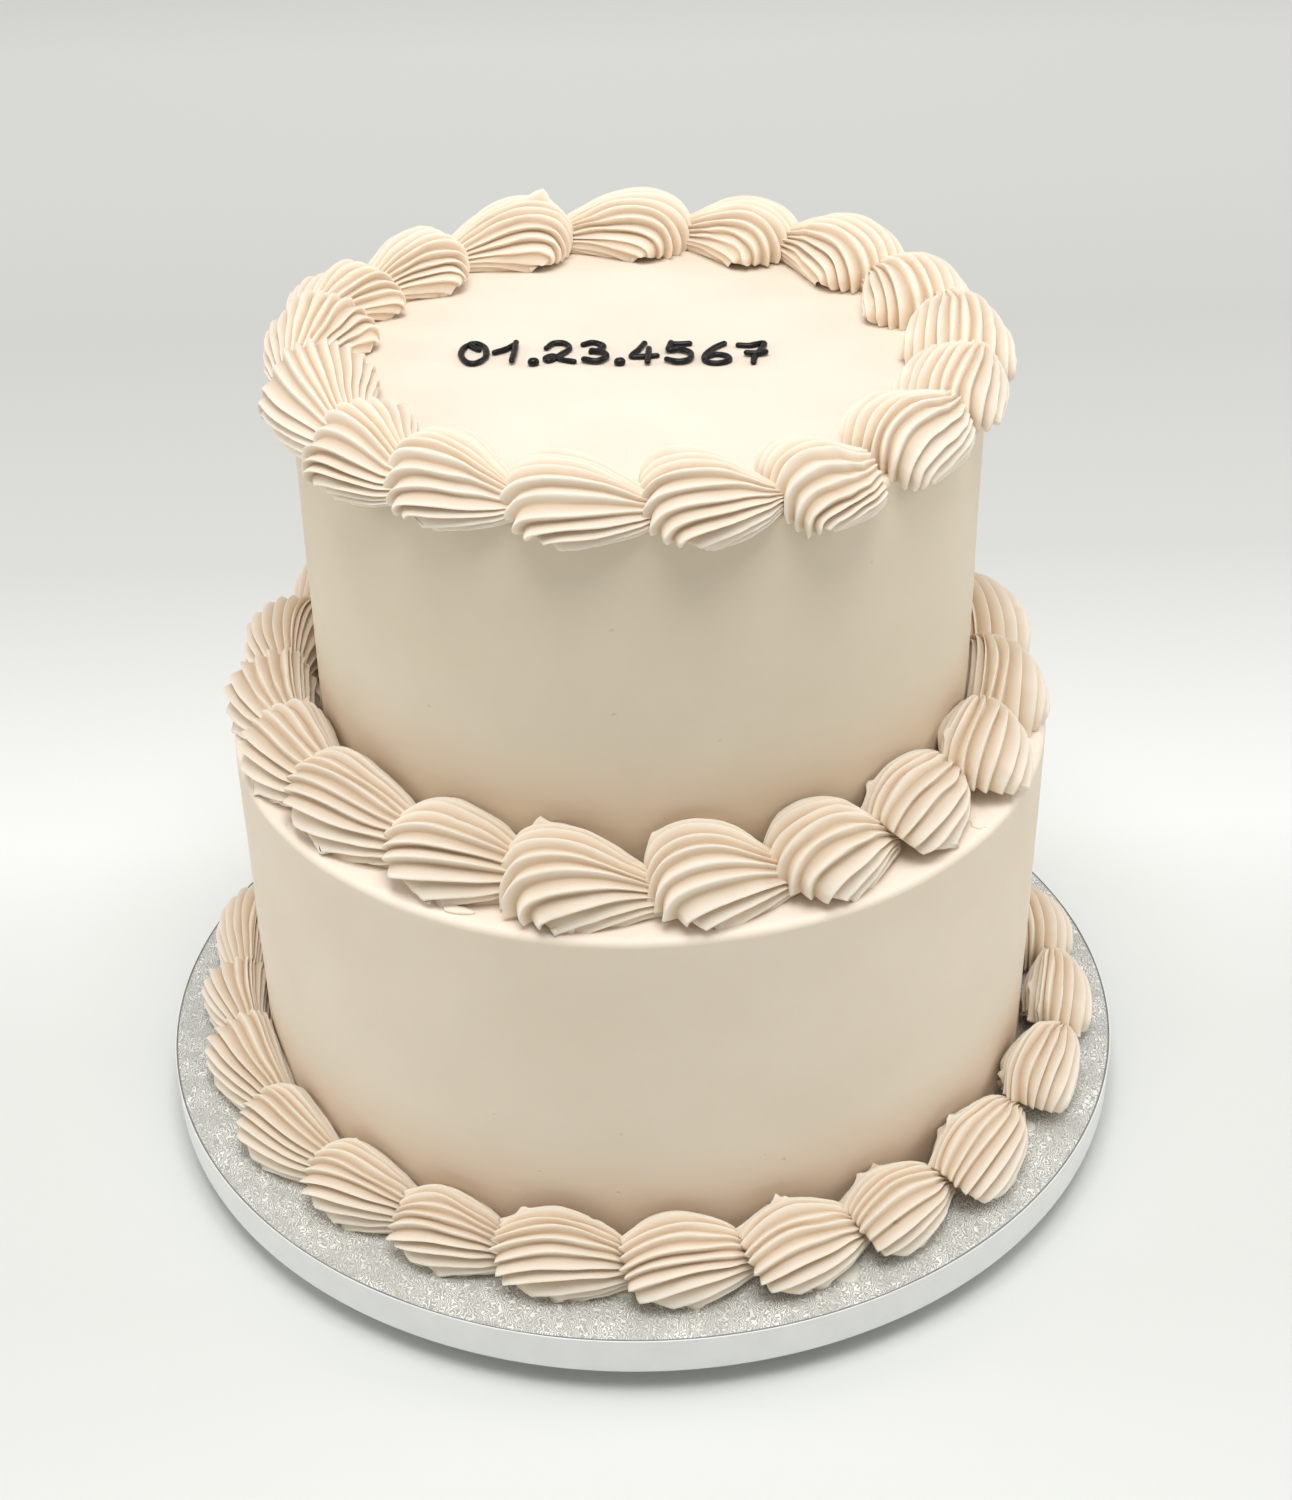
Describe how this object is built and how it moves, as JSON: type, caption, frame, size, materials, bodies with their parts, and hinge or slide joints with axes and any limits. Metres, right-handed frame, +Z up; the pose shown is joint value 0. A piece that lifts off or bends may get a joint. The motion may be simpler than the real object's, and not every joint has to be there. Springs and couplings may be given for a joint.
{
  "type": "two-tier cake",
  "caption": "Round two-tier cake in smooth pale icing, with piped shell borders at the top rim, the ledge and the foot, on a round silver drum board.",
  "frame": {"origin": "on the table under the middle of the round board, at the centre of the object's footprint", "axes": "+Z up through the tiers, +X to the right and -Y towards the viewer of the cake's front, where the ring of piped shells on top starts"},
  "size_m": [0.305, 0.305, 0.2548],
  "materials": {
    "silver_foil": "embossed silver foil on top, smooth satin band at the edge",
    "smooth_icing": "smooth matte cream icing, drawn flat with a scraper, with fine pits",
    "piped_icing": "satin cream icing piped through a fluted nozzle"
  },
  "bodies": {
    "root": {"board": "silver_foil", "lower_tier": "smooth_icing", "upper_tier": "smooth_icing", "top_shell_01": "piped_icing", "top_shell_02": "piped_icing", "top_shell_03": "piped_icing", "top_shell_04": "piped_icing", "top_shell_05": "piped_icing", "top_shell_06": "piped_icing", "top_shell_07": "piped_icing", "top_shell_08": "piped_icing", "top_shell_09": "piped_icing", "top_shell_10": "piped_icing", "top_shell_11": "piped_icing", "top_shell_12": "piped_icing", "top_shell_13": "piped_icing", "top_shell_14": "piped_icing", "top_shell_15": "piped_icing", "top_shell_16": "piped_icing", "top_shell_17": "piped_icing", "ledge_shell_01": "piped_icing", "ledge_shell_02": "piped_icing", "ledge_shell_03": "piped_icing", "ledge_shell_04": "piped_icing", "ledge_shell_05": "piped_icing", "ledge_shell_06": "piped_icing", "ledge_shell_07": "piped_icing", "ledge_shell_08": "piped_icing", "ledge_shell_09": "piped_icing", "ledge_shell_10": "piped_icing", "ledge_shell_11": "piped_icing", "ledge_shell_12": "piped_icing", "ledge_shell_13": "piped_icing", "ledge_shell_14": "piped_icing", "ledge_shell_15": "piped_icing", "ledge_shell_16": "piped_icing", "ledge_shell_17": "piped_icing", "ledge_shell_18": "piped_icing", "base_shell_01": "piped_icing", "base_shell_02": "piped_icing", "base_shell_03": "piped_icing", "base_shell_04": "piped_icing", "base_shell_05": "piped_icing", "base_shell_06": "piped_icing", "base_shell_07": "piped_icing", "base_shell_08": "piped_icing", "base_shell_09": "piped_icing", "base_shell_10": "piped_icing", "base_shell_11": "piped_icing", "base_shell_12": "piped_icing", "base_shell_13": "piped_icing", "base_shell_14": "piped_icing", "base_shell_15": "piped_icing", "base_shell_16": "piped_icing", "base_shell_17": "piped_icing", "base_shell_18": "piped_icing", "base_shell_19": "piped_icing", "base_shell_20": "piped_icing", "base_shell_21": "piped_icing", "base_shell_22": "piped_icing"}
  },
  "joints": []
}
